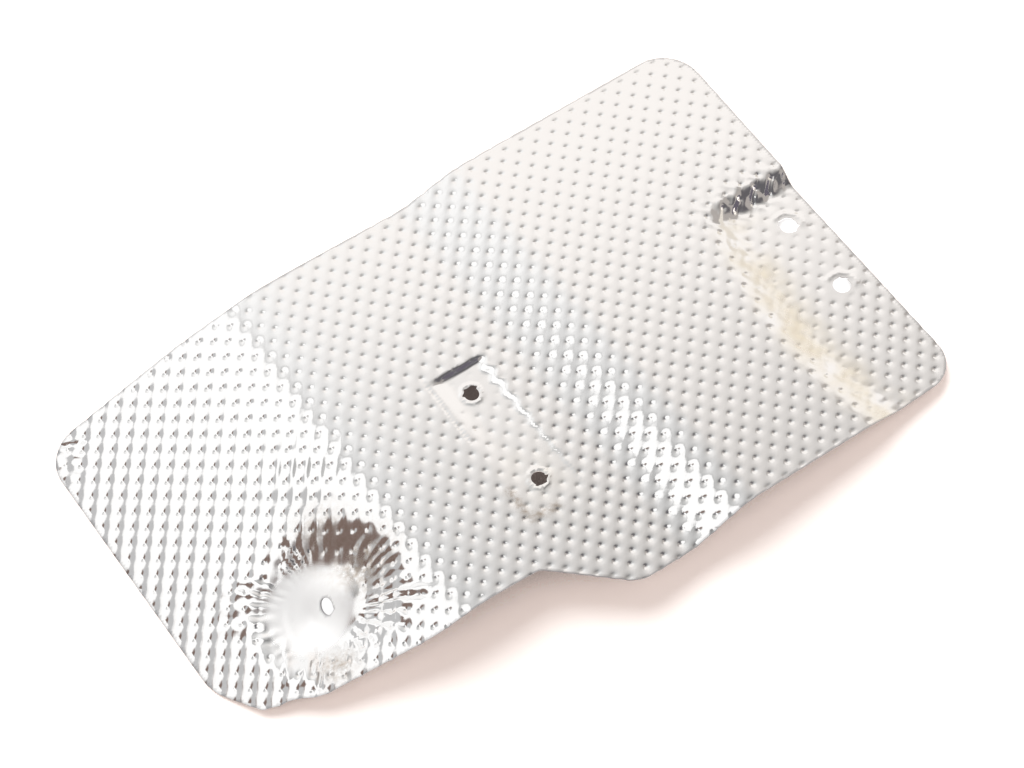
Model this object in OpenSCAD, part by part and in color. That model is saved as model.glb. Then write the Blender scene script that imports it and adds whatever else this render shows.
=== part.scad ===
// Gearbox heat shield: one pressed sheet of thin embossed aluminium.
// A flat panel on the right steps down to a middle panel, the left end is bent down,
// and seats for the screws are pressed into it. All sizes are in millimetres.
// x runs along the length from the left end, y across it from the near long edge,
// z up from the flat right-hand panel; the finished sheet is then laid on a table.

/* [Overall size] */
// Length of the sheet along its far edge
length = 253; // [210:1:304]
// Width of the sheet across its right-hand half
width = 157.5; // [131:0.5:189]
// Thickness of the sheet
sheet = 0.6; // [0.4:0.05:1.5]

/* [Outline] */
// Corner radius at the far right
far_right_r = 14; // [4:0.5:25]
// Corner radius at the near right
near_right_r = 12; // [4:0.5:20]
// Corner radius at the far left
far_left_r = 11; // [4:0.5:20]
// How far the seat stands out past the right-hand panel at its near corner
seat_out = 1.3; // [0:0.1:4]
// How far the left half is cut back from the near edge
cut_back = 20.8; // [5:0.1:30]
// Where the cut-back starts, from the left end
cut_x = 123.5; // [100:0.5:135]
// Length of the slope that leads into the cut-back
cut_slope = 24.5; // [10:0.5:40]
// Where the cut near left corner ends on the cut-back edge, from the left end
corner_x = 62; // [50:0.5:80]
// Where the cut near left corner starts on the left end, from the near edge
corner_y = 57; // [50:0.5:80]
// Tip of the cut corner, from the left end
tip_x = 8.2; // [4:0.1:20]
// Tip of the cut corner, from the near edge
tip_y = 41.3; // [36:0.1:46]

/* [Step down to the middle panel] */
// Where the step has reached the middle panel, from the left end
step_low_x = 134.5; // [110:0.5:150]
// Where the step leaves the right-hand panel, from the left end
step_high_x = 163; // [152:0.5:185]
// How far the step leans to the right at the near edge
step_skew = 6; // [0:0.5:15]
// Drop of the step at the near edge
drop_near = 10.6; // [3:0.1:16]
// Drop of the step at the far edge
drop_far = 5.9; // [2:0.1:16]
// Fall of the middle panel towards the right, per millimetre
middle_fall = 0.0067; // [0:0.0001:0.03]

/* [Bent-down left end] */
// Line of the bend, from the left end
bend_x = 74; // [50:0.5:95]
// Angle of the bend
bend_angle = 27; // [5:0.5:45]
// Softness of the bend: larger is rounder
bend_soft = 9; // [2:0.5:20]

/* [Recessed pad] */
// Middle of the pad from the left end
pad_x = 117.8; // [105:0.1:125]
// Middle of the pad from the near edge
pad_y = 66.5; // [55:0.1:90]
// Length of the pad across the sheet
pad_length = 59; // [40:0.5:75]
// Width of the pad along the sheet
pad_width = 22.7; // [12:0.1:26]
// Depth of the pad at its far end; it runs out to nothing at its near end
pad_depth = 1.8; // [0.5:0.1:4]
// Width of the walls that lead down into the pad
pad_wall = 2.4; // [1:0.1:4]
// Distance between the two screw holes in the pad
pad_hole_gap = 37.7; // [20:0.1:50]
// Diameter of the screw holes in the pad
pad_hole_d = 5.1; // [3:0.1:8]

/* [Lowered seat at the right end] */
// How far the seat's crease lies from the right end
seat_width = 37; // [25:0.5:45]
// How far the seat reaches from the near edge
seat_reach = 90; // [60:0.5:110]
// Depth of the seat at its far end
seat_depth = 4.2; // [1:0.1:7]
// How much shallower the seat is at the near edge
seat_fade = 1.2; // [0:0.1:3]
// Length of the short wall at the far end of the seat
seat_wall = 8; // [4:0.5:15]
// Width of the crease along the seat
crease_width = 9; // [4:0.5:16]
// Distance of the screw holes from the right end
seat_hole_inset = 10.8; // [7:0.1:16]
// Middle of the hole pair from the near edge
seat_hole_y = 64.3; // [45:0.1:75]
// Distance between the two screw holes in the seat
seat_hole_gap = 28.9; // [15:0.1:45]
// Diameter of the screw holes in the seat
seat_hole_d = 6.2; // [3:0.1:9]

/* [Drawn pocket for the slanted screw] */
// Middle of the slanted hole from the left end
hole_x = 42.2; // [36:0.1:50]
// Middle of the slanted hole from the near edge
hole_y = 55.8; // [50:0.1:66]
// Slope of the small seat around the hole
hole_slope = 60; // [40:1:65]
// Diameter of the slanted hole
hole_d = 5.8; // [3:0.1:8]
// Depth of the drawn pocket under the bent panel
draw_depth = 6; // [2:0.1:9]
// Outer radius of the drawn pocket
draw_r = 27; // [20:0.5:30]
// Radius of the pocket's floor
floor_r = 9; // [5:0.5:14]
// Radius over which the slanted seat runs out into the floor
slant_r = 7; // [5:0.5:10]

/* [Lying on a table] */
// Lean to the right in the resting pose
rest_pitch = 9.2; // [0:0.01:15]
// Turn about the length in the resting pose
rest_roll = -1.67; // [-5:0.01:5]

/* [Shown piece] */
// Piece to draw

/* [Hidden] */
$fn = 64;
aluminium = [0.80, 0.79, 0.77];

// Points of the sheet outside its outline, so that the outline makes every edge.
margin = 4;
// The middle panel's fall is counted from this far right of the bend.
fall_start = 30;
// The crease is deepest into the sheet on this line and bows to the right beside it.
crease_mid_y = 42;
crease_bow = 0.0032;
// Radius that eases the slight corners along the edges.
edge_r = 60;
// Spacing of the grid lines, from the tightest shapes to the flat panels.
wall_step = 1.25;
slant_step = 1.7;
draw_step = 2.4;
bend_step = 3.5;
cross_step = 5;
flat_step = 7;
wide_step = 10;

// Helpers for smooth shapes

function limit(v) = min(1, max(0, v));
// 0 before a, 1 after b, and an S-shaped ramp between.
function ramp(a, b, v) = let (t = limit((v - a) / (b - a))) t * t * (3 - 2 * t);
// 0 for negative v and v for positive v, rounded over about k.
function soft_plus(v, k) = (v + sqrt(v * v + k * k)) / 2;

// The pressed surface: its height over the plane of the right-hand panel

// The three panels: right at 0, middle stepped down, left bent down.
function panels(x, y) =
    let (across = y / width,
         drop = drop_near + (drop_far - drop_near) * across,
         fall = middle_fall * (x - bend_x - fall_start),
         skew = step_skew * (1 - across))
    -(1 - ramp(step_low_x + skew, step_high_x + skew, x)) * (drop + fall)
    - soft_plus(bend_x - x, bend_soft) * tan(bend_angle);

// The pad is level with the sheet at its near end and deepest at its far end.
function pad(x, y) =
    let (side = ramp(0, pad_wall, pad_width / 2 - abs(x - pad_x)),
         far = ramp(0, pad_wall, pad_y + pad_length / 2 - y),
         run = limit((y - pad_y + pad_length / 2) / pad_length))
    -pad_depth * run * side * far;

// The seat lies behind a curved crease and ends at a short wall.
function seat(x, y) =
    let (crease = length - seat_width + crease_bow * pow(y - crease_mid_y, 2),
         depth = seat_depth - seat_fade * (1 - y / seat_reach))
    -depth * ramp(-crease_width / 2, crease_width / 2, x - crease)
    * (1 - ramp(seat_reach, seat_reach + seat_wall, y));

// The pocket is drawn down round the hole, with a floor and a sloping wall.
function draw(x, y) =
    -draw_depth * (1 - ramp(floor_r, draw_r, norm([x - hole_x, y - hole_y])));

// Round the hole the sheet is tipped up to the slope of the screw's seat. The tip dies
// out with the distance, so the floor is deepest just left of the hole.
function screw_seat(x, y) =
    let (a = x - hole_x, r = norm([a, y - hole_y]))
    (tan(hole_slope) - tan(bend_angle)) * a * exp(-(r * r) / (slant_r * slant_r));

function height(x, y) =
    panels(x, y) + pad(x, y) + seat(x, y) + draw(x, y) + screw_seat(x, y);

// Unit normal of the surface, from its slopes along x and y.
function normal(x, y) =
    let (e = 0.01,
         sx = (height(x + e, y) - height(x - e, y)) / (2 * e),
         sy = (height(x, y + e) - height(x, y - e)) / (2 * e))
    [-sx, -sy, 1] / sqrt(sx * sx + sy * sy + 1);

// Grid lines: close together where the sheet is shaped, far apart where it is flat

function near_to(v, mid, half) = abs(v - mid) <= half;
function on_pad_side(x) =
    near_to(abs(x - pad_x), (pad_width - pad_wall) / 2, pad_wall * 0.8);
function step_x(x) =
    near_to(x, hole_x, slant_r) ? slant_step
    : near_to(x, hole_x, draw_r) ? draw_step
    : on_pad_side(x) ? wall_step
    : near_to(x, bend_x, 14) ? bend_step
    : x >= step_low_x && x < step_high_x + step_skew ? bend_step
    : near_to(x, length - seat_width + 3, crease_width + 1) ? draw_step
    : flat_step;
function step_y(y) =
    near_to(y, hole_y, slant_r) ? slant_step
    : near_to(y, hole_y, draw_r) ? draw_step
    : near_to(y, pad_y + pad_length / 2 - 1, pad_wall) ? wall_step
    : near_to(y, seat_reach + seat_wall / 2, seat_wall / 2 + 1) ? slant_step
    : near_to(y, pad_y, pad_length / 2 + 2) ? cross_step
    : wide_step;
function lines_x(x) = x >= length + margin ? [length + margin] : concat([x], lines_x(x + step_x(x)));
function lines_y(y) = y >= width + margin ? [width + margin] : concat([y], lines_y(y + step_y(y)));

xs = lines_x(-margin);
ys = lines_y(-margin);
nx = len(xs);
ny = len(ys);

// Outline

// Corners as [x, y, radius], in order round the sheet from the start of the cut-back.
corners = [
    [cut_x, 0, 12],
    [length - seat_width, 0.6, edge_r],
    [length + seat_out, 2.6, near_right_r],
    [length, seat_reach + 2, edge_r],
    [length - 0.4, width + 0.5, far_right_r],
    [step_high_x + 12, width - 0.8, edge_r],
    [step_low_x, width - 1.9, edge_r],
    [bend_x - 4, width - 2.2, edge_r],
    [bend_x - 24, width - 0.2, edge_r],
    [-0.8, width + 2.2, far_left_r],
    [-0.6, corner_y, 20],
    [tip_x, tip_y, 1.5],
    [tip_x + 15, tip_y - 9.4, 25],
    [corner_x, cut_back + 1.2, edge_r],
    [cut_x - cut_slope, cut_back, 5]
];

// A corner rounded by an arc that touches both of its edges.
function unit(v) = v / norm(v);
function arc_at(i) =
    let (n = len(corners),
         p = corners[i],
         a = corners[(i + n - 1) % n],
         b = corners[(i + 1) % n],
         c = [p[0], p[1]],
         u = unit([a[0], a[1]] - c),
         v = unit([b[0], b[1]] - c),
         half = acos(u * v) / 2,
         r = p[2],
         turn = 180 - 2 * half,
         m = c + unit(u + v) * r / sin(half),
         s = c + u * r / tan(half) - m,
         sign = u[0] * v[1] - u[1] * v[0] > 0 ? -1 : 1,
         steps = max(2, ceil(turn / 9)))
    [for (k = [0:steps])
        let (t = sign * turn * k / steps)
        m + [s[0] * cos(t) - s[1] * sin(t), s[0] * sin(t) + s[1] * cos(t)]];

outline = [for (i = [0:len(corners) - 1]) each arc_at(i)];

// Resting pose

function lean(p) =
    let (y = p[1] * cos(rest_roll) - p[2] * sin(rest_roll),
         z = p[1] * sin(rest_roll) + p[2] * cos(rest_roll))
    [p[0] * cos(rest_pitch) + z * sin(rest_pitch), y, z * cos(rest_pitch) - p[0] * sin(rest_pitch)];
function top_point(x, y) = [x, y, height(x, y)];
function under_point(x, y) = top_point(x, y) - normal(x, y) * sheet;

// Points about two millimetres apart along the cut edge, at its top and its foot. They
// show how low and how wide the sheet lies.
edge = [for (i = [0:len(outline) - 1])
    let (a = outline[i],
         b = outline[(i + 1) % len(outline)],
         n = max(1, ceil(norm(b - a) / 2)))
    for (k = [0:n - 1]) a + (b - a) * k / n];
rim = [for (p = edge)
    let (top = top_point(p[0], p[1]), cut = sheet / normal(p[0], p[1])[2])
    each [lean(top), lean(top - [0, 0, cut])]];
rim_x = [for (p = rim) p[0]];
rim_y = [for (p = rim) p[1]];
rim_z = [for (p = rim) p[2]];
foot = [(min(rim_x) + max(rim_x)) / 2, (min(rim_y) + max(rim_y)) / 2, min(rim_z)];

// Solids

// The pressed sheet before it is trimmed: two grids of points, one sheet thickness apart.
module blank() {
    top = [for (y = ys) for (x = xs) top_point(x, y)];
    under = [for (y = ys) for (x = xs) under_point(x, y)];
    n = nx * ny;
    upper_faces = [for (j = [0:ny - 2]) for (i = [0:nx - 2]) let (k = j * nx + i)
        each [[k, k + nx, k + nx + 1], [k, k + nx + 1, k + 1]]];
    under_faces = [for (f = upper_faces) [f[2] + n, f[1] + n, f[0] + n]];
    near_faces = [for (i = [0:nx - 2]) each [[i, i + 1, i + 1 + n], [i, i + 1 + n, i + n]]];
    far_faces = [for (i = [0:nx - 2]) let (k = (ny - 1) * nx + i)
        each [[k + 1, k, k + n], [k + 1, k + n, k + 1 + n]]];
    left_faces = [for (j = [0:ny - 2]) let (k = j * nx)
        each [[k + nx, k, k + n], [k + nx, k + n, k + nx + n]]];
    right_faces = [for (j = [0:ny - 2]) let (k = j * nx + nx - 1)
        each [[k, k + nx, k + nx + n], [k, k + nx + n, k + n]]];
    polyhedron(points = concat(top, under),
               faces = concat(upper_faces, under_faces, near_faces, far_faces, left_faces, right_faces),
               convexity = 8);
}

// A round hole at (x, y), drilled along z or, with a slope, tipped to the left.
module hole(x, y, d, slope = 0) {
    translate(top_point(x, y))
        rotate([0, -slope, 0])
            cylinder(d = d, h = 8 * sheet + 3, center = true);
}

// Everything inside the outline, from far below the sheet to far above it.
module trim() {
    translate([0, 0, -length / 2]) linear_extrude(height = length) polygon(outline);
}

module heat_shield() {
    color(aluminium)
    translate(-foot)
    rotate([0, rest_pitch, 0])
    rotate([rest_roll, 0, 0])
    difference() {
        intersection() {
            blank();
            trim();
        }
        for (s = [-1, 1]) {
            hole(pad_x, pad_y + s * pad_hole_gap / 2, pad_hole_d);
            hole(length - seat_hole_inset, seat_hole_y + s * seat_hole_gap / 2, seat_hole_d);
        }
        hole(hole_x, hole_y, hole_d, hole_slope);
    }
}

heat_shield();
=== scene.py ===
"""Gearbox heat shield, one pressed sheet of bright embossed aluminium.

The sheet is worked out in its own panel frame, in millimetres: x along the length from the
bent-down end to the seat, y from the cut-back long edge to the straight one, z up. It is then
laid down on the table as the CAD model lies, and turned to metres.
"""

import bpy
import numpy as np
from mathutils import Matrix


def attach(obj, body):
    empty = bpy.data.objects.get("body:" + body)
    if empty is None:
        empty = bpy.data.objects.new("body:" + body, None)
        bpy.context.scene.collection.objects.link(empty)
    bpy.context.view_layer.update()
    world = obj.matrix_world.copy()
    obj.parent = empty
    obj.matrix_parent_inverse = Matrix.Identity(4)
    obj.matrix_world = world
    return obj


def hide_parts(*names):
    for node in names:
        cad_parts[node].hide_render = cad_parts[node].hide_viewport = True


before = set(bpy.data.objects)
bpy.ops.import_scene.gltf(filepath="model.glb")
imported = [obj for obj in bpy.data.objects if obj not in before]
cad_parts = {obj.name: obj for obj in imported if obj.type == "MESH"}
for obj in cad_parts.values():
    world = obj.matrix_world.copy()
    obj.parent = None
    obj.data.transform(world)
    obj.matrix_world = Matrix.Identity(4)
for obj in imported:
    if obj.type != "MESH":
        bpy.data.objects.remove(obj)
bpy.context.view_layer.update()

bl_info = {
    "name": "Gearbox heat shield",
    "version": (1, 0, 0),
    "blender": (4, 5, 0),
    "location": "3D View > Sidebar > Heat shield",
    "description": "Builds an embossed aluminium heat shield and the table it lies on",
    "category": "Object",
}

MM = 0.001

# ---- sizes of the pressed sheet, in millimetres and degrees, as the CAD model has them ----
LENGTH, WIDTH = 253.0, 157.5
STEP_LOW_X, STEP_HIGH_X, STEP_SKEW = 134.5, 163.0, 6.0
DROP_NEAR, DROP_FAR, MIDDLE_FALL, FALL_START = 10.6, 5.9, 0.0067, 30.0
BEND_X, BEND_ANGLE, BEND_SOFT = 74.0, 27.0, 9.0
PAD_X, PAD_Y, PAD_LENGTH, PAD_WIDTH = 117.8, 66.5, 59.0, 22.7
PAD_DEPTH, PAD_WALL, PAD_HOLE_GAP, PAD_HOLE_D = 1.8, 2.4, 37.7, 5.1
SEAT_WIDTH, SEAT_REACH, SEAT_DEPTH, SEAT_FADE, SEAT_WALL = 37.0, 90.0, 4.2, 1.2, 8.0
CREASE_MID_Y, CREASE_BOW = 42.0, 0.0032
SEAT_HOLE_X, SEAT_HOLE_Y, SEAT_HOLE_GAP, SEAT_HOLE_D = 242.2, 64.3, 28.9, 6.2
HOLE_X, HOLE_Y, HOLE_SLOPE, HOLE_D = 42.2, 55.8, 60.0, 5.8
DRAW_DEPTH, DRAW_R, FLOOR_R, SLANT_R = 6.0, 27.0, 9.0, 7.0
REST_PITCH, REST_ROLL = 9.2, -1.67
REST_CENTRE = (120.86338848, 78.84152109, -47.93713474)
CORNERS = (
    (123.5, 0.0, 12.0), (216.0, 0.6, 60.0), (254.3, 2.6, 12.0), (253.0, 92.0, 60.0),
    (252.6, 158.0, 14.0), (175.0, 156.7, 60.0), (134.5, 155.6, 60.0), (70.0, 155.3, 60.0),
    (50.0, 157.3, 60.0), (-0.8, 159.7, 11.0), (-0.6, 57.0, 20.0), (8.2, 41.3, 1.5),
    (23.2, 31.9, 25.0), (62.0, 22.0, 60.0), (99.0, 20.8, 5.0),
)

# ---- the pad's left wall and the seat's long crease are softer than in the CAD model, where
# ---- they are 2.4 and 9 mm wide: the photo shows no bright band along either. The pad's right
# ---- wall is as wide as it is deep, and scalloped, for it shows as a row of bright beads ----
SOFT_WALL, BEAD_WALL, SOFT_CREASE = 8.0, 4.0, 16.0

# ---- a dent in the near edge, beside the corner's tip ----
DENT_X, DENT_Y, DENT_DEPTH, DENT_REACH = 18.5, 36.1, 1.5, 5.0

# ---- the camera, as it stood for the photograph, in metres ----
CAMERA_PLACE = (-0.20794, -0.40088, 0.98415)
CAMERA_RIGHT = (0.81669, -0.57416, -0.05804)
CAMERA_UP = (0.54127, 0.72724, 0.42209)
CAMERA_BACK = (-0.20014, -0.37613, 0.90469)
CAMERA_LENS = 116.016


class ShieldSizes(bpy.types.PropertyGroup):
    """Sizes of the embossing and of the marks that pressing left in the sheet."""

    thickness: bpy.props.FloatProperty(
        name="Sheet thickness", description="Thickness of the sheet",
        default=0.0006, min=0.0001, unit="LENGTH")
    pitch: bpy.props.FloatProperty(
        name="Embossing pitch", description="Distance from one pit to the next",
        default=0.005, min=0.002, unit="LENGTH")
    pit_depth: bpy.props.FloatProperty(
        name="Pit depth", description="Depth of a pit below the dish that it lies in",
        default=0.00029, min=0.0, unit="LENGTH")
    pit_radius: bpy.props.FloatProperty(
        name="Pit radius", description="Radius at which a pit is steepest",
        default=0.00044, min=0.0001, unit="LENGTH")
    dish_depth: bpy.props.FloatProperty(
        name="Dish depth", description="Depth of the shallow dish round each pit",
        default=0.0001, min=0.0, unit="LENGTH")
    dish_radius: bpy.props.FloatProperty(
        name="Dish radius", description="Radius at which a dish is steepest",
        default=0.00105, min=0.0001, unit="LENGTH")
    pillow_height: bpy.props.FloatProperty(
        name="Ridge height", description="Height of the soft ridges between the rows of pits",
        default=0.0001, min=0.0, unit="LENGTH")
    pleat_height: bpy.props.FloatProperty(
        name="Pleat height", description="Height of the pleats round the drawn pocket",
        default=0.00042, min=0.0, unit="LENGTH")
    fold_height: bpy.props.FloatProperty(
        name="Fold height", description="Height of the long folds between the rows of pits",
        default=0.00034, min=0.0, unit="LENGTH")
    rim_height: bpy.props.FloatProperty(
        name="Rim height", description="Height of the rims round the pad holes and seat holes",
        default=0.0003, min=0.0, unit="LENGTH")


class ShieldColours(bpy.types.PropertyGroup):
    """Colours of the metal and of what has stained it."""

    metal: bpy.props.StringProperty(
        name="Metal", description="Colour of clean rolled aluminium, sRGB hex", default="#F8F7F6")
    # Partly real grime and partly painted shade on the pad's near corner and the pocket's walls.
    burnt_and_shade: bpy.props.StringProperty(
        name="Burnt dirt", description="Colour of the brown stains in the folds, sRGB hex",
        default="#B3A18D")
    film: bpy.props.StringProperty(
        name="Oil film", description="Colour of the yellowish film along the seat, sRGB hex",
        default="#F9F2E2")
    edge: bpy.props.StringProperty(
        name="Cut edge", description="Colour of the sheared edge, sRGB hex", default="#8C8A8C")


class StageSettings(bpy.types.PropertyGroup):
    """The table, the soft ceiling and the dark side behind the camera."""

    ceiling_height: bpy.props.FloatProperty(
        name="Ceiling height", description="Height of the soft ceiling above the table",
        default=0.43, min=0.1, unit="LENGTH")
    table: bpy.props.StringProperty(
        name="Table", description="Colour of the white table, sRGB hex", default="#F6F4F2")
    shadow: bpy.props.StringProperty(
        name="Shadow", description="Colour the table keeps in full shadow, sRGB hex",
        default="#B3A098")
    lamp_strength: bpy.props.FloatProperty(
        name="Lamp strength", description="Strength of the lamp behind the sheet", default=2.6, min=0.0)
    lamp_tilt: bpy.props.FloatProperty(
        name="Lamp tilt", description="How far the lamp stands off the vertical, towards the back",
        default=0.5, min=0.0, max=1.4, unit="ROTATION")
    # Painted shade: the colour the table is darkened to where the sheet shuts it in.
    under_sheet_shade: bpy.props.StringProperty(
        name="Hollow", description="Colour of the table under the sheet, sRGB hex", default="#4E4643")


def to_linear(code):
    """One sRGB hex colour as a linear RGBA tuple."""
    parts = [int(code[i:i + 2], 16) / 255 for i in (1, 3, 5)]
    return tuple(c / 12.92 if c <= 0.04045 else ((c + 0.055) / 1.055) ** 2.4 for c in parts) + (1.0,)


def add(tree, kind, settings=None, links=None):
    """Adds one node. Settings are inputs by name or number, or properties of the node, and
    links are inputs by name or number with the socket that feeds them."""
    node = tree.nodes.new(kind)
    for key, value in (settings or {}).items():
        if isinstance(key, int) or key in node.inputs:
            node.inputs[key].default_value = value
        else:
            setattr(node, key, value)
    for key, socket in (links or {}).items():
        tree.links.new(socket, node.inputs[key])
    return node


def ramp(a, b, v):
    """Smooth step: 0 below a, 1 above b, and between them t squared times (3 - 2 t)."""
    t = np.clip((v - a) / (b - a), 0, 1)
    return t * t * (3 - 2 * t)


def soft_plus(v, k):
    """v where v is large, 0 where it is small, and a hyperbola of size k between."""
    return (v + np.sqrt(v * v + k * k)) / 2


def bell(v, width):
    """Bell curve: 1 at v = 0, and 1/e at v = width."""
    return np.exp(-(v / width) ** 2)


def tan(degrees):
    return np.tan(np.radians(degrees))


class Millimetres:
    """The sizes that a user may change, in millimetres."""

    def __init__(self, group):
        for name in ShieldSizes.__annotations__:
            setattr(self, name, getattr(group, name) / MM)


def crease(x, y, a, b, width, height):
    """A ridge or groove along the line a-b: a bell across the line, which fades out at the
    line's two ends."""
    (ax, ay), (bx, by) = a, b
    length = np.hypot(bx - ax, by - ay)
    ux, uy = (bx - ax) / length, (by - ay) / length
    t = ((x - ax) * ux + (y - ay) * uy) / length
    s = (y - ay) * ux - (x - ax) * uy
    return height * bell(s, width) * ramp(-0.08, 0.08, t) * (1 - ramp(0.92, 1.08, t))


def smooth_height(x, y):
    """Height of the smooth sheet: two flat panels joined by a slanting step, a hyperbolic bend
    down to the left end, a pad and a seat pressed in, and the drawn pocket with its slant."""
    across = y / WIDTH
    drop = DROP_NEAR + (DROP_FAR - DROP_NEAR) * across
    fall = MIDDLE_FALL * (x - BEND_X - FALL_START)
    skew = STEP_SKEW * (1 - across)
    z = -(1 - ramp(STEP_LOW_X + skew, STEP_HIGH_X + skew, x)) * (drop + fall)
    z = z - soft_plus(BEND_X - x, BEND_SOFT) * tan(BEND_ANGLE)
    far = ramp(0, PAD_WALL, PAD_Y + PAD_LENGTH / 2 - y)
    deep = np.clip((y - PAD_Y + PAD_LENGTH / 2) / PAD_LENGTH, 0, 1)
    wall = BEAD_WALL * (0.1 + 0.9 * deep)
    beads = 0.2 * wall * np.cos(2 * np.pi * y / 6.3 + 0.8 * np.sin(0.21 * y))
    side = ramp(0, 1, (PAD_WIDTH / 2 - (x - PAD_X) + beads) / wall) * ramp(0, SOFT_WALL, PAD_WIDTH / 2 + (x - PAD_X))
    z = z - PAD_DEPTH * deep * side * far
    depth = SEAT_DEPTH - SEAT_FADE * (1 - y / SEAT_REACH)
    z = z - depth * ramp(-SOFT_CREASE / 2, SOFT_CREASE / 2, x - crease_x(y)) * (
        1 - ramp(SEAT_REACH, SEAT_REACH + SEAT_WALL, y))
    a, r = x - HOLE_X, np.hypot(x - HOLE_X, y - HOLE_Y)
    z = z - DRAW_DEPTH * (1 - ramp(FLOOR_R, DRAW_R, r))
    return z + (tan(HOLE_SLOPE) - tan(BEND_ANGLE)) * a * np.exp(-(r / SLANT_R) ** 2)


def crease_x(y):
    """Where the seat's long crease runs: a shallow parabola."""
    return LENGTH - SEAT_WIDTH + CREASE_BOW * (y - CREASE_MID_Y) ** 2


# The rows of pits run at 47 degrees to the sheet's length. The sheet is stretched by STRETCH
# where it was pulled over the bend, and drawn in by about 1 mm at the step, and the rows with it.
TURN_C, TURN_S = np.cos(np.radians(47)), np.sin(np.radians(47))
ROWS_AT, STRETCH = (0.4, -1.0), 0.068


def drawn_in(x, y):
    """How far the rows are drawn in at a place, along the rows and across them: one smooth step
    at the pressed step, a second one before the bend, and a stretch along y past the bend."""
    low, left, end = 1 - ramp(134, 163, x), 1 - ramp(70, 105, x), 1 - ramp(35, 75, x)
    return 0.2 * low + 0.04 * (143 - y) * end, 0.95 * low + 0.75 * left - 1.3 * end


def rows_from_sheet(x, y):
    """Place on the sheet to place in the rows of pits: unstretch, turn by 47 degrees, shift."""
    s, w = 70 - y, 196 - (x - STRETCH * soft_plus(BEND_X - x, BEND_SOFT))
    du, dv = drawn_in(x, y)
    return s * TURN_C - w * TURN_S - ROWS_AT[0] - du, -s * TURN_S - w * TURN_C - ROWS_AT[1] - dv


def sheet_from_rows(u, v):
    """The way back: shift, turn and stretch again, repeated until the place stands still."""
    x, y = np.full(u.shape, LENGTH / 2), np.full(u.shape, WIDTH / 2)
    for _ in range(20):
        du, dv = drawn_in(x, y)
        a, b = u + ROWS_AT[0] + du, v + ROWS_AT[1] + dv
        x = 196 + a * TURN_S + b * TURN_C + STRETCH * soft_plus(BEND_X - x, BEND_SOFT)
        y = 70 - a * TURN_C + b * TURN_S
    return x, y


def holes():
    """Centre, half width, half depth, and the angle and depth of a torn notch, of each hole.
    The pocket's hole is square to a steep seat, so it is narrow when seen along z."""
    steep = HOLE_D / 2 * np.cos(np.radians(HOLE_SLOPE))
    return (
        (PAD_X, PAD_Y - PAD_HOLE_GAP / 2, PAD_HOLE_D / 2, PAD_HOLE_D / 2, 0.0, 0.0),
        (PAD_X, PAD_Y + PAD_HOLE_GAP / 2, PAD_HOLE_D / 2, PAD_HOLE_D / 2, 0.9, 0.28),
        (SEAT_HOLE_X, SEAT_HOLE_Y - SEAT_HOLE_GAP / 2, SEAT_HOLE_D / 2, SEAT_HOLE_D / 2, 0.0, 0.0),
        (SEAT_HOLE_X, SEAT_HOLE_Y + SEAT_HOLE_GAP / 2, SEAT_HOLE_D / 2, SEAT_HOLE_D / 2, 0.0, 0.0),
        (HOLE_X, HOLE_Y, steep, HOLE_D / 2, 0.0, 0.0),
    )


def pit_share(x, y):
    """How much of a pit is left at a place: 1 on the open sheet, and less where a tool pressed
    it flat again, in the pocket, on the pad, round the holes and along the seat's crease."""
    share = ramp(13, 20, np.hypot(x - 37.5, y - 57))
    on_pad = ramp(-1, 1, PAD_WIDTH / 2 - abs(x - PAD_X)) * ramp(-1, 2, PAD_LENGTH / 2 - abs(y - PAD_Y))
    share = share * (1 - on_pad * (0.25 + 0.65 * ramp(75, 84, y)))
    share = share * (1 - 0.9 * bell(x - PAD_X - PAD_WIDTH / 2 + 1.5, 2) * ramp(40, 48, y) * (1 - ramp(94, 98, y)))
    for cx, cy, r, _, _, _ in holes()[:4]:
        share = share * ramp(r + 0.8, r + 3.0, np.hypot(x - cx, y - cy))
    share = share * (1 - 0.85 * bell(x - crease_x(y) - 3, 7) * (1 - ramp(90, 98, y)))
    share = share * (1 - 0.5 * bell(x - 243, 9) * ramp(40, 60, y) * (1 - ramp(88, 96, y)))
    return share * (1 + 0.9 * bell(x - 238, 14) * bell(y - 94.5, 5))


def pits(x, y, k):
    """Small round pits on a square grid, each in a shallow dish a little off its middle, with
    soft ridges between them: two bells repeated with the pitch, and cosines of the rows. Dishes
    and ridges are deeper where the sheet was stretched, at the step, at the bend and low down."""
    u, v = rows_from_sheet(x, y)
    half = k.pitch / 2
    z = 0
    stretched = bell(x - 149, 20) + 0.4 * (1 - ramp(66, 84, x)) + 0.5 * bell(x - 108, 40) * (1 - ramp(30, 80, y))
    dish = k.dish_depth * (1 + stretched)
    for deep, radius, du, dv in ((k.pit_depth, k.pit_radius, 0, 0), (dish, k.dish_radius, 0.55, -0.3)):
        r2 = ((u - du + half) % k.pitch - half) ** 2 + ((v - dv + half) % k.pitch - half) ** 2
        z = z - deep * np.exp(-r2 / (2 * radius ** 2))
    cu, cv = np.cos(np.pi * u / half), np.cos(np.pi * v / half)
    return (z - k.pillow_height * (0.3 * cu + 0.1 * cu * cv) * (1 + stretched)) * pit_share(x, y)


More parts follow.
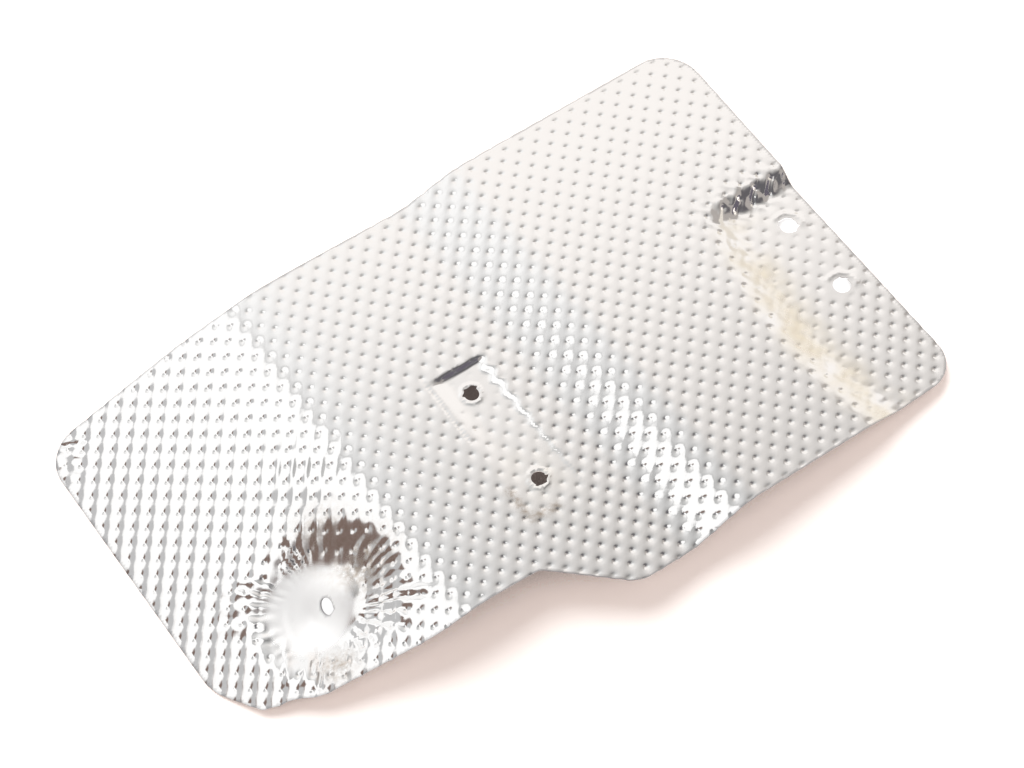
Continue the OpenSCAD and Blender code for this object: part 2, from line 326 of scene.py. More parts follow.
def pleats(x, y, k):
    """Pleats round the drawn pocket: a sine of the angle about its hole, about 35 to the turn,
    uneven in pitch, inside a ring whose two edges wander. They reach furthest, and are highest,
    to the near right at -40 degrees and to the far left at 140 degrees."""
    r, f = np.hypot(x - HOLE_X, y - HOLE_Y), np.arctan2(y - HOLE_Y, x - HOLE_X)
    uneven = 0.5 * np.sin(5 * f + 0.4) + 0.35 * np.sin(11 * f + 2.0) + 0.3 * np.sin(17 * f + 1.0)
    wave = np.sin(35 * f + 1.6 * np.sin(3 * f + 1) + 1.1 * np.sin(8 * f) + 0.35 * np.sin(0.9 * r + 4 * f))
    right, left = bell(f + np.radians(35), np.radians(32)), bell(f - np.radians(142), np.radians(20))
    start = 13 + 2.5 * np.sin(2 * f + 0.6) + 3 * left
    end = 23 + 3.5 * uneven + 9 * right + 13 * left
    side = 0.42 + 0.5 * right + 0.25 * left + 0.3 * bell(f + np.radians(140), np.radians(25))
    return k.pleat_height * side * (1 + 0.5 * uneven) * wave * (
        ramp(start, start + 5, r) * (1 - ramp(end - 8, end + 3, r)))


def long_folds(x, y, k):
    """Long folds between the rows of pits, from the pocket to the far edge: a narrow bell
    repeated with the pitch. Over the whole bent end the rows themselves stand up as low waves
    with one steeper side: two sines."""
    u, v = rows_from_sheet(x, y)
    r, f = np.hypot(x - HOLE_X, y - HOLE_Y), np.arctan2(y - HOLE_Y, x - HOLE_X)
    reach = ramp(20, 27, r) * (1 - ramp(42, 68, r)) * bell(f - np.radians(68), np.radians(17))
    fold = bell(u % k.pitch - k.pitch / 2 - 0.25 * np.sin(0.35 * v), 0.55)
    turn = 2 * np.pi / k.pitch
    a = turn * (u - 1.1)
    wave = 0.09 / turn * (np.sin(a) + 0.25 * np.sin(2 * a)) * (1 - ramp(50, 72, x))
    return k.fold_height * reach * fold + wave * pit_share(x, y)


def pocket_folds(x, y, k):
    """Single folds on the pocket's near left wall, and the rings pressed round its hole."""
    z = crease(x, y, (26.5, 55.5), (18.6, 42.6), 1.0, 0.55)
    z = z + crease(x, y, (33.5, 47.5), (25.1, 33.6), 0.8, -0.9)
    z = z + crease(x, y, (30.8, 49.8), (23.0, 38.5), 1.6, 0.45)
    r, f = np.hypot(x - HOLE_X, y - HOLE_Y), np.arctan2(y - HOLE_Y, x - HOLE_X) % (2 * np.pi)
    rings = 0.22 * bell(r - 12.2, 0.9) - 0.18 * bell(r - 14.4, 0.9) + 0.25 * bell(r - 17.5, 1.2)
    return z + rings * bell(f - np.radians(172), np.radians(26))


def rims(x, y, k):
    """Rims round the pad's holes, a little way out, so that the sheet dips towards the hole, and
    the part rings like them over the seat's holes: bells of the radius. A thin groove runs along
    the far part of the pad's left edge."""
    z = 0
    for side in (-1, 1):
        r = np.hypot(x - PAD_X, y - PAD_Y - side * PAD_HOLE_GAP / 2)
        z = z + k.rim_height * bell(r - PAD_HOLE_D / 2 - 0.9, 0.6)
        dx, dy = x - SEAT_HOLE_X, y - SEAT_HOLE_Y - side * SEAT_HOLE_GAP / 2
        r, f = np.hypot(dx, dy), np.arctan2(dy, dx)
        z = z + k.rim_height * bell(r - SEAT_HOLE_D / 2 - 1.7, 0.8) * ramp(-0.9, -0.3, f) * (1 - ramp(1.9, 2.4, f))
    edge = PAD_X - PAD_WIDTH / 2 + 0.4
    return z - crease(x, y, (edge, 95.5), (edge, 70), 0.5, 0.3)


def crumple(x, y, k):
    """The crushed end wall of the seat and its uneven crease: products and sums of sines, held
    to their place by bells."""
    wall = bell(x - 237, 15) * bell(y - 94.5, 5)
    lumps = 0.44 * np.sin(1.05 * x + 0.8 * np.sin(0.7 * y)) * np.sin(0.9 * y + 0.9 * np.sin(0.6 * x))
    lumps = lumps + 0.10 * np.sin(1.9 * x - 1.3 * y + np.sin(0.5 * x))
    line = bell(x - crease_x(y) - 3, 6) * (1 - ramp(84, 92, y))
    waves = 0.03 * np.sin(1.1 * x + 0.7 * y) + 0.03 * np.sin(1.5 * y - 0.6 * x + 2 * np.sin(0.5 * x))
    return wall * lumps + line * waves


def bent_corner(x, y, k):
    """The short fold across the far left corner, and the crushed patch beside it."""
    patch = 0.12 * bell(np.hypot(x - 4, y - 151), 6) * np.sin(1.3 * x + 0.9 * y + np.sin(y))
    return crease(x, y, (5.0, 157.5), (12.5, 152.8), 0.6, -0.35) + patch


def sheet_height(x, y, k):
    """Height of the finished sheet: the smooth sheet and everything pressed into it."""
    z = smooth_height(x, y)
    for part in (pits, pleats, long_folds, pocket_folds, rims, crumple, bent_corner):
        z = z + part(x, y, k)
    return z


def slopes(height, x, y, step=0.02):
    """Slope of a height in x and in y, from the difference over one small step each way."""
    return ((height(x + step, y) - height(x - step, y)) / (2 * step),
            (height(x, y + step) - height(x, y - step)) / (2 * step))


def upward(gx, gy):
    """Unit normal of a height with slopes gx and gy."""
    n = np.stack([-gx, -gy, np.ones_like(gx)], -1)
    return n / np.linalg.norm(n, axis=-1, keepdims=True)


def lay_down(p):
    """Turns vectors from the panel frame to the table's frame: roll about x, then pitch about y."""
    c, s = np.cos(np.radians(REST_ROLL)), np.sin(np.radians(REST_ROLL))
    y, z = p[..., 1] * c - p[..., 2] * s, p[..., 1] * s + p[..., 2] * c
    c, s = np.cos(np.radians(REST_PITCH)), np.sin(np.radians(REST_PITCH))
    return np.stack([p[..., 0] * c + z * s, y, z * c - p[..., 0] * s], -1)


def outline():
    """The cut edge seen along z: straight lines joined by arcs, each arc in steps of up to 9
    degrees, as points in order against the clock."""
    points = []
    count = len(CORNERS)
    for i, (cx, cy, r) in enumerate(CORNERS):
        c = np.array((cx, cy))
        a = np.array(CORNERS[i - 1][:2]) - c
        b = np.array(CORNERS[(i + 1) % count][:2]) - c
        a, b = a / np.linalg.norm(a), b / np.linalg.norm(b)
        half = np.arccos(a @ b) / 2
        turn = np.pi - 2 * half
        middle = c + (a + b) / np.linalg.norm(a + b) * r / np.sin(half)
        start = c + a * r / np.tan(half) - middle
        way = -1 if a[0] * b[1] - a[1] * b[0] > 0 else 1
        f = way * np.linspace(0, turn, max(2, int(np.ceil(np.degrees(turn) / 9))) + 1)
        points.append(middle + np.stack([start[0] * np.cos(f) - start[1] * np.sin(f),
                                         start[0] * np.sin(f) + start[1] * np.cos(f)], -1))
    return np.vstack(points)


def to_outline(x, y):
    """Distance to the outline, below 0 inside it, and the nearest point on it. Inside and
    outside are told apart by counting crossings to the right."""
    best = np.full(x.shape, 1e9)
    nx, ny = np.zeros_like(x), np.zeros_like(y)
    inside = np.zeros(x.shape, bool)
    line = outline()
    for (ax, ay), (bx, by) in zip(line, np.roll(line, -1, 0)):
        t = np.clip(((x - ax) * (bx - ax) + (y - ay) * (by - ay)) / ((bx - ax) ** 2 + (by - ay) ** 2), 0, 1)
        px, py = ax + t * (bx - ax), ay + t * (by - ay)
        d = np.hypot(x - px, y - py)
        near = d < best
        best, nx, ny = np.where(near, d, best), np.where(near, px, nx), np.where(near, py, ny)
        if ay != by:
            crossed = ((ay > y) != (by > y)) & (x < ax + (y - ay) * (bx - ax) / (by - ay))
            inside ^= crossed
    return np.where(inside, -best, best), nx, ny


def cut_sheet(k):
    """The grid of points that the sheet is made of, seen along z, and which of them are cut off.

    The grid is in step with the pits, six points to the pitch, and is drawn together by a sine
    at each pit and by a bell round each hole. A point within half a step of an edge is moved
    onto it. Gives x, y, their places in the rows of pits, and a state: 2 inside, 1 on an edge,
    0 cut off.
    """
    step = k.pitch / 6
    line = outline()
    u, v = rows_from_sheet(line[:, 0], line[:, 1])
    low_u, low_v = int(u.min() // step) // 2 * 2 - 2, int(v.min() // step) // 2 * 2 - 2
    many_u, many_v = (int(np.ceil((q.max() / step - low) / 2)) + 2 for q, low in ((u, low_u), (v, low_v)))
    iu, iv = np.meshgrid(low_u + np.arange(2 * many_u + 1), low_v + np.arange(2 * many_v + 1), indexing="ij")
    u, v = iu * step, iv * step
    x, y = sheet_from_rows(u, v)
    closer = 0.08 * k.pitch * pit_share(x, y) * ramp(1.5, 4, -to_outline(x, y)[0])
    turn = 2 * np.pi / k.pitch
    u, v = u - closer * np.sin(turn * u), v - closer * np.sin(turn * v)
    x, y = sheet_from_rows(u, v)
    spread = np.ones_like(x)
    for cx, cy, rx, ry, _, _ in holes():
        pull = 0.5 if rx < 2 else 0.35
        reach = 8.0 if rx < 2 else 4.5
        dx, dy = x - cx, y - cy
        keep = 1 - pull * np.exp(-(dx * dx + dy * dy) / reach ** 2)
        x, y, spread = cx + dx * keep, cy + dy * keep, spread * keep
    d, ex, ey = to_outline(x, y)
    state = np.where(d < -step / 2, 2, np.where(d <= step / 2, 1, 0))
    x, y = np.where(state == 1, ex, x), np.where(state == 1, ey, y)
    for cx, cy, rx, ry, notch, deep in holes():
        dx, dy = x - cx + 1e-6, y - cy
        grow = 1 + deep * bell(np.arctan2(dy, dx) - notch, 0.28)
        rho = np.hypot(dx / rx, dy / ry) / grow
        d = (1 - rho) * rho * grow ** 2 / np.hypot(dx / rx ** 2, dy / ry ** 2)
        half = step / 2 * spread
        inner = state == 2
        state = np.where(inner & (d > half), 0, np.where(inner & (d >= -half), 1, state))
        on = inner & (state == 1)
        x, y = np.where(on, cx + dx / rho, x), np.where(on, cy + dy / rho, y)
    dent = DENT_DEPTH * bell(np.hypot(x - DENT_X, y - DENT_Y), DENT_REACH)
    return x, y + dent, u, v, state


def squares(grid):
    """The four corners of each square of a grid, against the clock: shape (squares, 4)."""
    return np.stack([grid[:-1, :-1], grid[1:, :-1], grid[1:, 1:], grid[:-1, 1:]], -1).reshape(-1, 4)


def fine_faces(state, number, wanted):
    """Two triangles for each wanted square. It is split between two corners on an edge where it
    has such a pair, and a triangle without a corner inside, or with one cut off, is left out."""
    s, n = squares(state), squares(number)
    across = (s[:, 1] == 1) & (s[:, 3] == 1)
    order = np.where(across[:, None], [[0, 1, 3, 1, 2, 3]], [[0, 1, 2, 0, 2, 3]])
    faces = np.take_along_axis(n, order, 1).reshape(-1, 3)
    s = np.take_along_axis(s, order, 1).reshape(-1, 3)
    return faces[(s.min(1) > 0) & (s.max(1) == 2) & np.repeat(wanted, 2)]


def fan_faces(full, number):
    """For each full block of two by two squares a fan from its middle. A side shared with
    another full block is one triangle, and any other side is two, with a point midway."""
    mid = number[1::2, 1::2]
    low, high, odd = slice(None, -2, 2), slice(2, None, 2), slice(1, None, 2)
    ring = np.pad(full, 1)
    sides = (
        (number[low, low], number[odd, low], number[high, low], ring[1:-1, :-2]),
        (number[high, low], number[high, odd], number[high, high], ring[2:, 1:-1]),
        (number[high, high], number[odd, high], number[low, high], ring[1:-1, 2:]),
        (number[low, high], number[low, odd], number[low, low], ring[:-2, 1:-1]),
    )
    faces = []
    for start, half, end, neighbour in sides:
        whole, split = full & neighbour, full & ~neighbour
        faces.append(np.stack([mid[whole], start[whole], end[whole]], -1))
        faces.append(np.stack([mid[split], start[split], half[split]], -1))
        faces.append(np.stack([mid[split], half[split], end[split]], -1))
    return np.vstack(faces)


def open_edges(faces, count):
    """Edges that only one triangle has, in that triangle's direction."""
    ends = np.vstack([faces[:, [0, 1]], faces[:, [1, 2]], faces[:, [2, 0]]])
    return ends[~np.isin(ends[:, 0] * count + ends[:, 1], ends[:, 1] * count + ends[:, 0])]


def build_sheet(k):
    """The whole closed sheet: points in metres, triangles, a normal for each triangle's corner,
    the place of each point in the rows of pits, its place on the sheet in millimetres, and how
    far it belongs to the sheared edge round the sheet or round the pocket's hole.

    The top is the finished height over the grid. The underside is the top moved by one
    thickness against the smooth sheet's normal, and no lower than the table. A ring of points
    halfway down the cut edge, 0.1 mm proud, rounds it.
    """
    x, y, u, v, state = cut_sheet(k)
    number = np.arange(x.size).reshape(x.shape)
    count = x.size
    full = (squares(state).min(1) == 2).reshape(x.shape[0] // 2, 2, x.shape[1] // 2, 2).all((1, 3))
    covered = np.repeat(np.repeat(full, 2, 0), 2, 1).ravel()
    top = fine_faces(state, number, np.ones(covered.shape, bool))
    below = np.vstack([fine_faces(state, number, ~covered), fan_faces(full, number)])

    x, y, u, v = x.ravel(), y.ravel(), u.ravel(), v.ravel()
    gx, gy = slopes(lambda a, b: sheet_height(a, b, k), x, y)
    normal = upward(gx, gy)
    above = np.stack([x, y, sheet_height(x, y, k)], -1)
    under = above - k.thickness * upward(*slopes(smooth_height, x, y))

    cut = open_edges(top, count)
    ring = np.unique(cut[:, 0])
    along = np.stack([x, y], -1)[cut[:, 1]] - np.stack([x, y], -1)[cut[:, 0]]
    out = np.zeros((count, 2))
    np.add.at(out, cut.ravel(), np.repeat(np.stack([along[:, 1], -along[:, 0]], -1), 2, 0))
    out = out[ring]
    out = np.stack([out[:, 0], out[:, 1], gx[ring] * out[:, 0] + gy[ring] * out[:, 1]], -1)
    out = out / np.linalg.norm(out, axis=-1, keepdims=True)
    middle = (above[ring] + under[ring]) / 2 + 0.1 * out
    place = np.zeros(count, int)
    place[ring] = np.arange(len(ring))
    a, b = cut[:, 0], cut[:, 1]
    ma, mb = 2 * count + place[a], 2 * count + place[b]
    ua, ub = count + a, count + b
    rim = np.vstack([np.stack(f, -1) for f in ((b, a, ma), (b, ma, mb), (mb, ma, ua), (mb, ua, ub))])

    points = lay_down(np.vstack([above, under, middle])) - REST_CENTRE
    points[:, 2] = np.maximum(points[:, 2], 0)
    faces = np.vstack([top, below[:, ::-1] + count, rim])
    smooth = lay_down(np.vstack([normal, -normal, out]))
    lip = np.zeros((2 * count + len(ring), 3))
    up = lay_down(normal[ring])
    side = lay_down(out)
    lip[ring], lip[count + ring], lip[2 * count:] = 0.75 * side + 0.66 * up, 0.75 * side - 0.66 * up, side
    corners = np.vstack([smooth[faces[:-len(rim)].ravel()], lip[rim.ravel()]])
    used, faces = np.unique(faces, return_inverse=True)
    faces = faces.reshape(-1, 3)
    if len(open_edges(faces, len(used))):
        raise RuntimeError("the sheet isn't closed: choose a pitch nearer to 5 mm")
    rows = np.vstack([np.stack([u, v], -1)] * 2 + [np.stack([u, v], -1)[ring]])[used]
    flat = np.vstack([np.stack([x, y], -1)] * 2 + [np.stack([x, y], -1)[ring]])[used]
    sheared = np.zeros(2 * count + len(ring))
    sheared[ring] = sheared[count + ring] = 0.6
    sheared[2 * count:] = 1
    cut = sheared[used]
    for cx, cy, _, _, _, _ in holes()[:4]:
        cut = cut * ramp(4, 6, np.hypot(flat[:, 0] - cx, flat[:, 1] - cy))
    return points[used] * MM, faces, corners, rows, flat, cut


def burnt_and_shade_share(x, y):
    """Where brown is painted on, partly grime burned on by heat and partly painted shade on darker walls: bells along
    the two lines of the pad's near corner, and in the pocket's near folds and on its far and right walls."""
    z = 0.8 * np.maximum(crease(x, y, (106.9, 50.0), (107.0, 37.3), 1.3, 1), crease(x, y, (106.0, 37.2), (118.0, 36.0), 1.5, 1))
    z = z + 0.7 * bell(np.hypot(x - 33.5, y - 36), 5.5) + 0.5 * bell(np.hypot(x - 52, y - 74), 8)
    z = z + 0.9 * bell(np.hypot(x - 58, y - 58), 8)
    return np.clip(z, 0, 1)


def film_share(x, y):
    """Where a yellowish film lies: a band along the seat's crease, and faintly on the pad."""
    band = bell(x - crease_x(y) - 3, 8) * (1 - ramp(84, 92, y))
    pad = 0.25 * bell(x - PAD_X, 9) * bell(y - 50, 18)
    return np.clip(band + pad, 0, 1)


def painted_highlight_share(x, y):
    """Where the pocket's floor is made matt white, a painted highlight: a smooth step of the radius."""
    return 1 - ramp(11.5, 15.5, np.hypot(x - 37, y - 58))


def put_mesh(name, points, faces, material):
    """Makes an object from points and equal faces, with its place in its mesh."""
    mesh = bpy.data.meshes.new(name)
    size = faces.shape[1]
    mesh.vertices.add(len(points))
    mesh.vertices.foreach_set("co", np.ascontiguousarray(points, np.float32).ravel())
    mesh.loops.add(faces.size)
    mesh.loops.foreach_set("vertex_index", np.ascontiguousarray(faces, np.int32).ravel())
    mesh.polygons.add(len(faces))
    mesh.polygons.foreach_set("loop_start", np.arange(0, faces.size, size, dtype=np.int32))
    mesh.update(calc_edges=True)
    mesh.materials.append(material)
    piece = bpy.data.objects.new(name, mesh)
    bpy.context.scene.collection.objects.link(piece)
    return piece


def rolled_aluminium(colours):
    """Bright rolled aluminium, embossed and bare. Rolling leaves a mirror that is slightly drawn out along the rows, so
    reflections are sharp but not clean. Grease leaves a yellowish film, and brown spots that take the shine off are
    partly grime burned on by heat and partly painted shade. The pocket's floor is made matt white as a painted
    highlight."""
    material = bpy.data.materials.new("bright_rolled_aluminium")
    material.use_nodes = True
    tree = material.node_tree
    tree.nodes.clear()
    place = add(tree, "ShaderNodeTexCoord")
    # Rolling grain: lines about 0.5 mm apart, drawn coarser than real so that they show.
    drawn = add(tree, "ShaderNodeMapping", {"Scale": (10.0, 0.8, 1.0)}, {"Vector": place.outputs["UV"]})
    grain = add(tree, "ShaderNodeTexNoise", {"Scale": 1.0, "Detail": 3.0}, {"Vector": drawn.outputs["Vector"]})
    # Smudges: cloudy patches about 15 mm across.
    smudge = add(tree, "ShaderNodeTexNoise", {"Scale": 66.0, "Detail": 4.0}, {"Vector": place.outputs["Object"]})
    # Specks: the painted brown, grime and shade alike, breaks up into spots of about 1.5 mm.
    speck = add(tree, "ShaderNodeTexNoise", {"Scale": 650.0, "Detail": 2.0}, {"Vector": place.outputs["Object"]})
    burnt_and_shade = add(tree, "ShaderNodeAttribute", {"attribute_name": "burnt_and_shade"})
    film = add(tree, "ShaderNodeAttribute", {"attribute_name": "film"})
    broken = add(tree, "ShaderNodeMapRange", {"From Min": 0.25, "From Max": 0.7}, {"Value": speck.outputs["Fac"]})
    dirt_and_shade = add(tree, "ShaderNodeMath", {"operation": "MULTIPLY"}, {0: burnt_and_shade.outputs["Fac"], 1: broken.outputs["Result"]})
    cloudy = add(tree, "ShaderNodeMapRange", {"From Min": 0.35, "From Max": 0.6}, {"Value": smudge.outputs["Fac"]})
    oily = add(tree, "ShaderNodeMath", {"operation": "MULTIPLY"}, {0: film.outputs["Fac"], 1: cloudy.outputs["Result"]})
    filmed = add(tree, "ShaderNodeMix", {"data_type": "RGBA", 6: to_linear(colours.metal), 7: to_linear(colours.film)}, {0: oily.outputs[0]})
    colour = add(tree, "ShaderNodeMix", {"data_type": "RGBA", 7: to_linear(colours.burnt_and_shade)}, {0: dirt_and_shade.outputs[0], 6: filmed.outputs[2]})
    shine = add(tree, "ShaderNodeMapRange", {"From Min": 0.3, "From Max": 0.7, "To Min": 0.09, "To Max": 0.15}, {"Value": smudge.outputs["Fac"]})
    dull = add(tree, "ShaderNodeMath", {"operation": "MULTIPLY_ADD", 1: 0.3}, {0: dirt_and_shade.outputs[0], 2: shine.outputs["Result"]})
    duller = add(tree, "ShaderNodeMath", {"operation": "MULTIPLY_ADD", 1: 0.2}, {0: oily.outputs[0], 2: dull.outputs[0]})
    # Painted highlight: the pocket's floor is made matt, white as paper, in place of a bright reflection.
    painted_highlight = add(tree, "ShaderNodeAttribute", {"attribute_name": "painted_highlight"})
    matt = add(tree, "ShaderNodeMath", {"operation": "MULTIPLY_ADD", 1: 0.4}, {0: painted_highlight.outputs["Fac"], 2: duller.outputs[0]})
    bare = add(tree, "ShaderNodeMath", {"operation": "MULTIPLY_ADD", 1: -0.85, 2: 1.0}, {0: painted_highlight.outputs["Fac"]})
    # The sheared edge is rough and grey, which draws a thin line round the sheet and round the
    # hole in the pocket.
    cut = add(tree, "ShaderNodeAttribute", {"attribute_name": "cut"})
    edged = add(tree, "ShaderNodeMix", {"data_type": "RGBA", 7: to_linear(colours.edge)}, {0: cut.outputs["Fac"], 6: colour.outputs[2]})
    bump = add(tree, "ShaderNodeBump", {"Strength": 0.25, "Distance": 0.00003}, {"Height": grain.outputs["Fac"]})
    shader = add(tree, "ShaderNodeBsdfPrincipled", None, {
        "Base Color": edged.outputs[2], "Metallic": bare.outputs[0], "Roughness": matt.outputs[0], "Normal": bump.outputs["Normal"]})
    add(tree, "ShaderNodeOutputMaterial", None, {"Surface": shader.outputs["BSDF"]})
    return material


def seen_straight(tree):
    """1 for a ray from the camera, off a mirror or through glass, and 0 for any other ray."""
    path = add(tree, "ShaderNodeLightPath")
    direct = add(tree, "ShaderNodeMath", {"operation": "MAXIMUM"}, {
        0: path.outputs["Is Camera Ray"], 1: path.outputs["Is Glossy Ray"]})
    return add(tree, "ShaderNodeMath", {"operation": "MAXIMUM"}, {
        0: direct.outputs[0], 1: path.outputs["Is Transmission Ray"]}).outputs[0]


def white_table(stage):
    """Matt white laminate. It shows as plain white where light reaches it, and as a soft reddish grey in the sheet's
    shadow. Under the sheet it is darkened with painted shade, and white spots of painted light lie under the sheet's
    two ends."""
    material = bpy.data.materials.new("matt_white_laminate")
    material.use_nodes = True
    tree = material.node_tree
    tree.nodes.clear()
    # Painted shade: under the sheet, where the space above the table is shut in, both its colour and its glow are
    # darkened towards the under-sheet shade colour, as dark as the photo's two pad holes are.
    openness = add(tree, "ShaderNodeAmbientOcclusion", {"Distance": 0.15, "samples": 8})
    clear = add(tree, "ShaderNodeMapRange", {"From Min": 0.12, "From Max": 0.4}, {"Value": openness.outputs["AO"]}).outputs["Result"]
    dark = to_linear(stage.under_sheet_shade)
    matt = add(tree, "ShaderNodeMix", {"data_type": "RGBA", 6: dark, 7: to_linear(stage.table)}, {0: clear})
    tone = add(tree, "ShaderNodeMix", {"data_type": "RGBA", 6: dark, 7: to_linear(stage.shadow)}, {0: clear})
    # Painted light: white spots painted on the table under the sheet's two ends, so that it shows white through their
    # holes.
    place = add(tree, "ShaderNodeTexCoord")
    for centre, reach in (((-0.0833, -0.0205, 0.0), (0.006, 0.006, 1.0)), ((0.1185, -0.0133, 0.0), (0.009, 0.024, 1.0))):
        near = add(tree, "ShaderNodeMapping", {"vector_type": "TEXTURE", "Location": centre, "Scale": reach}, {"Vector": place.outputs["Object"]})
        away = add(tree, "ShaderNodeVectorMath", {"operation": "LENGTH"}, {0: near.outputs["Vector"]})
        lit = add(tree, "ShaderNodeMapRange", {"From Min": 1.0, "From Max": 0.6}, {"Value": away.outputs["Value"]})
        tone = add(tree, "ShaderNodeMix", {"data_type": "RGBA", 7: to_linear("#FFFFFF")}, {0: lit.outputs["Result"], 6: tone.outputs[2]})
    matt = add(tree, "ShaderNodeBsdfDiffuse", None, {"Color": matt.outputs[2]})
    glow = add(tree, "ShaderNodeEmission", None, {"Color": tone.outputs[2], "Strength": seen_straight(tree)})
    both = add(tree, "ShaderNodeAddShader", None, {0: matt.outputs[0], 1: glow.outputs[0]})
    add(tree, "ShaderNodeOutputMaterial", None, {"Surface": both.outputs[0]})
    return material


def soft_ceiling():
    """A lit ceiling of cloth, seen only in the metal: it falls from white at the back to dark
    over the camera, and is a little warmer to the right. Past a sharp slanting edge on the left
    there is a white panel, with grey beyond it and a dark brown corner to the near left."""
    material = bpy.data.materials.new("lit_cloth_ceiling")
    material.use_nodes = True
    tree = material.node_tree
    tree.nodes.clear()
    place = add(tree, "ShaderNodeTexCoord")
    axes = add(tree, "ShaderNodeSeparateXYZ", None, {0: place.outputs["Object"]})
    along = add(tree, "ShaderNodeMapRange", {"From Min": -0.5, "From Max": 0.5}, {"Value": axes.outputs["Y"]})
    tones = add(tree, "ShaderNodeValToRGB", None, {0: along.outputs["Result"]})
    stops = ((-0.48, "#636367"), (-0.28, "#605F63"), (-0.20, "#6E6D71"), (-0.13, "#8E8E8E"), (-0.055, "#AAAAAA"),
             (0.02, "#BCBCBC"), (0.095, "#CDCDCD"), (0.17, "#DDDDDD"), (0.245, "#EBEBEB"), (0.32, "#F7F7F7"))
    band = tones.color_ramp
    while len(band.elements) < len(stops):
        band.elements.new(0.5)
    for element, (at, code) in zip(band.elements, stops):
        element.position = at + 0.5
        element.color = to_linear(code)
    edge = add(tree, "ShaderNodeMath", {"operation": "MULTIPLY_ADD", 1: 0.22}, {0: axes.outputs["Y"], 2: axes.outputs["X"]})

    def smooth(socket, start, end, low=0.0, high=1.0):
        settings = {"interpolation_type": "SMOOTHSTEP", "From Min": start, "From Max": end, "To Min": low, "To Max": high}
        return add(tree, "ShaderNodeMapRange", settings, {"Value": socket}).outputs["Result"]

    def mixed(code, first, *shares):
        share = shares[0]
        for other in shares[1:]:
            share = add(tree, "ShaderNodeMath", {"operation": "MULTIPLY"}, {0: share, 1: other}).outputs[0]
        return add(tree, "ShaderNodeMix", {"data_type": "RGBA", 7: to_linear(code)}, {0: share, 6: first}).outputs[2]

    x, y, slant = axes.outputs["X"], axes.outputs["Y"], edge.outputs[0]
    tint = add(tree, "ShaderNodeMix", {"data_type": "RGBA", 6: to_linear("#FFFFFF"), 7: to_linear("#FFFBF8")}, {0: smooth(x, -0.06, 0.35)})
    warm = add(tree, "ShaderNodeVectorMath", {"operation": "MULTIPLY"}, {0: tones.outputs["Color"], 1: tint.outputs[2]})
    strip = add(tree, "ShaderNodeVectorMath", {"operation": "SCALE"}, {0: warm.outputs[0], "Scale": smooth(slant, -0.07, -0.02, 0.7, 1.0)})
    right = mixed("#ACA6A2", strip.outputs[0], smooth(x, 0.46, 0.62), smooth(y, 0.26, 0.14))
    white = add(tree, "ShaderNodeRGB")
    white.outputs[0].default_value = to_linear("#FFFFFF")
    left = mixed("#BDBDBE", white.outputs[0], smooth(slant, -0.32, -0.38))
    left = mixed("#9A9594", left, smooth(y, -0.16, -0.28))
    left = mixed("#7B6A63", left, smooth(x, -0.33, -0.39), smooth(y, 0.225, 0.145))
    past = smooth(slant, -0.062, -0.080)
    whole = add(tree, "ShaderNodeMix", {"data_type": "RGBA"}, {0: past, 6: right, 7: left})
    glow = add(tree, "ShaderNodeEmission", {"Strength": 1.1}, {"Color": whole.outputs[2]})
    add(tree, "ShaderNodeOutputMaterial", None, {"Surface": glow.outputs[0]})
    return material


def plain_glow(name, code):
    """One even colour that gives light, for a card."""
    material = bpy.data.materials.new(name)
    material.use_nodes = True
    tree = material.node_tree
    tree.nodes.clear()
    glow = add(tree, "ShaderNodeEmission", {"Color": to_linear(code), "Strength": 1.0})
    add(tree, "ShaderNodeOutputMaterial", None, {"Surface": glow.outputs[0]})
    return material


def flat_card(name, corners, material):
    """A staged flat card through four corners, in metres."""
    card = put_mesh(name, np.array(corners), np.array([[0, 1, 2, 3]]), material)
    return card


class OBJECT_OT_embossed_shield(bpy.types.Operator):
    """Builds the embossed sheet and lets it stand for the plain one"""

    bl_idname = "object.embossed_shield"
    bl_label = "Embossed shield"

    def execute(self, context):
        k = Millimetres(context.scene.shield_sizes)
        points, faces, corners, rows, flat, cut = build_sheet(k)
        piece = put_mesh("embossed_shield", points, faces, rolled_aluminium(context.scene.shield_colours))
        mesh = piece.data
        layer = mesh.uv_layers.new(name="rows")
        layer.uv.foreach_set("vector", np.ascontiguousarray(rows[faces.ravel()] / k.pitch, np.float32).ravel())
        shares = [(name, share(flat[:, 0], flat[:, 1])) for name, share in (
            ("burnt_and_shade", burnt_and_shade_share), ("film", film_share), ("painted_highlight", painted_highlight_share))]
        for name, values in shares + [("cut", cut)]:
            mesh.attributes.new(name, "FLOAT", "POINT").data.foreach_set("value", values.astype(np.float32))
        mesh.shade_smooth()
        mesh.normals_split_custom_set(corners.astype(np.float32))
        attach(piece, "root")
        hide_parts("heat_shield")
        return {"FINISHED"}


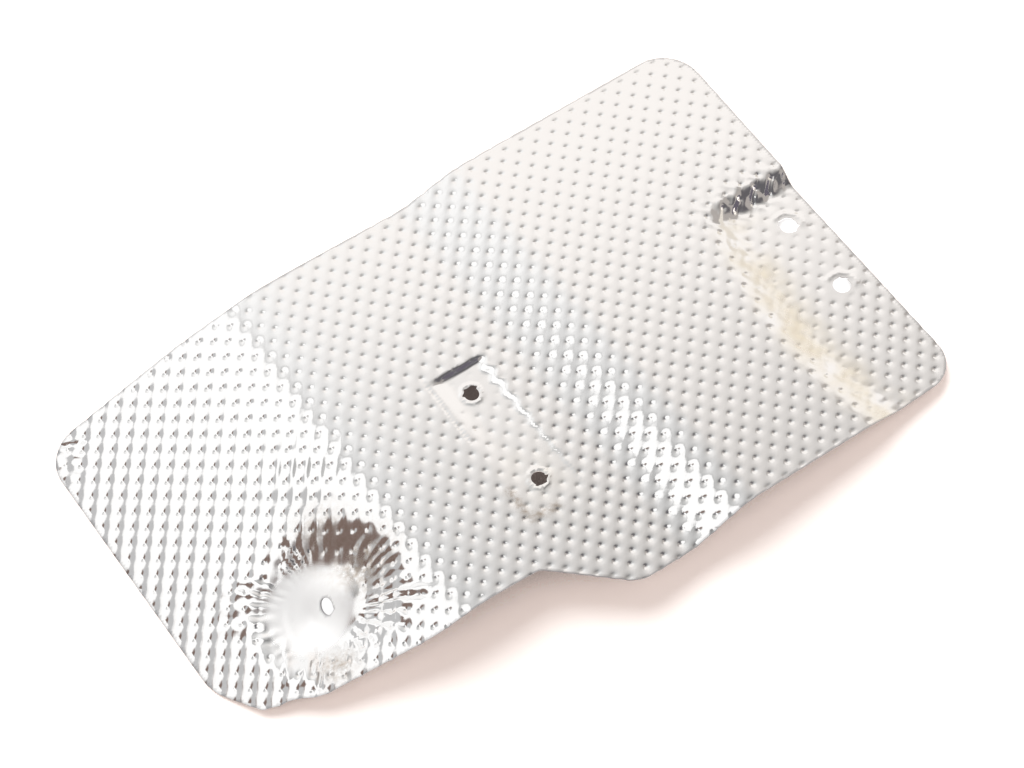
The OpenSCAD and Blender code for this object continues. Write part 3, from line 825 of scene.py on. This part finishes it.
class SCENE_OT_shield_stage(bpy.types.Operator):
    """Builds the table, the lights and the camera"""

    bl_idname = "scene.shield_stage"
    bl_label = "Table and lights"

    def execute(self, context):
        stage, scene = context.scene.shield_stage, context.scene
        table = ((-3, -3, -0.0001), (3, -3, -0.0001), (3, 3, -0.0001), (-3, 3, -0.0001))
        flat_card("white_table", table, white_table(stage))
        top = stage.ceiling_height
        cards = (
            flat_card("soft_ceiling", ((-1.4, -0.75, top), (-1.4, 2.5, top), (1.6, 2.5, top), (1.6, -0.75, top)), soft_ceiling()),
            flat_card("dark_card", ((-1.4, -0.76, 0.0), (-1.4, -0.76, top), (1.6, -0.76, top), (1.6, -0.76, 0.0)), plain_glow("dark_felt", "#6A656F")),
            flat_card("cream_card", ((1.61, -0.76, 0.0), (1.61, -0.76, top), (1.61, 2.5, top), (1.61, 2.5, 0.0)), plain_glow("cream_cloth", "#E9E2D8")),
        )
        # The ceiling and the cards show in the metal only; the table is lit through them.
        for card in cards:
            card.visible_camera = card.visible_diffuse = card.visible_shadow = False
        world = bpy.data.worlds.new("white_room")
        world.use_nodes = True
        world.node_tree.nodes.clear()
        # White where it is seen, and a dimmer light on the table, so that the sheet's shadow stays.
        share = add(world.node_tree, "ShaderNodeMath", {"operation": "MULTIPLY_ADD", 1: 0.65, 2: 0.35}, {0: seen_straight(world.node_tree)})
        room = add(world.node_tree, "ShaderNodeBackground", {"Color": (1.0, 1.0, 1.0, 1.0)}, {"Strength": share.outputs[0]})
        add(world.node_tree, "ShaderNodeOutputWorld", None, {"Surface": room.outputs[0]})
        scene.world = world
        # The lamp lights the table only, for the metal mirrors the ceiling and cards.
        sun = bpy.data.lights.new("back_lamp", "SUN")
        sun.energy, sun.angle = stage.lamp_strength, 0.7
        lamp = bpy.data.objects.new("back_lamp", sun)
        lamp.rotation_euler = (-stage.lamp_tilt, 0.0, 0.0)
        lamp.visible_glossy = False
        scene.collection.objects.link(lamp)
        lens = bpy.data.cameras.new("photo_camera")
        lens.lens, lens.sensor_width = CAMERA_LENS, 36.0
        camera = bpy.data.objects.new("photo_camera", lens)
        turned = Matrix((CAMERA_RIGHT, CAMERA_UP, CAMERA_BACK)).transposed()
        camera.matrix_world = Matrix.Translation(CAMERA_PLACE) @ turned.to_4x4()
        scene.collection.objects.link(camera)
        scene.camera = camera
        scene.view_settings.view_transform = "Standard"
        return {"FINISHED"}


class VIEW3D_PT_heat_shield(bpy.types.Panel):
    """Lists the sizes, the colours and the two steps"""

    bl_label = "Heat shield"
    bl_idname = "VIEW3D_PT_heat_shield"
    bl_space_type = "VIEW_3D"
    bl_region_type = "UI"
    bl_category = "Heat shield"

    def draw(self, context):
        scene = context.scene
        for group, operator in (
            ((scene.shield_sizes, scene.shield_colours), OBJECT_OT_embossed_shield),
            ((scene.shield_stage,), SCENE_OT_shield_stage),
        ):
            box = self.layout.box()
            for settings in group:
                for name in settings.__annotations__:
                    box.prop(settings, name)
            box.operator(operator.bl_idname)


GROUPS = (("shield_sizes", ShieldSizes), ("shield_colours", ShieldColours), ("shield_stage", StageSettings))
CLASSES = (OBJECT_OT_embossed_shield, SCENE_OT_shield_stage, VIEW3D_PT_heat_shield)


def register():
    for name, group in GROUPS:
        bpy.utils.register_class(group)
        setattr(bpy.types.Scene, name, bpy.props.PointerProperty(type=group))
    for item in CLASSES:
        bpy.utils.register_class(item)


def unregister():
    for item in reversed(CLASSES):
        bpy.utils.unregister_class(item)
    for name, group in reversed(GROUPS):
        delattr(bpy.types.Scene, name)
        bpy.utils.unregister_class(group)


def main():
    register()
    bpy.ops.object.embossed_shield()
    bpy.ops.scene.shield_stage()


if __name__ == "__main__":
    main()
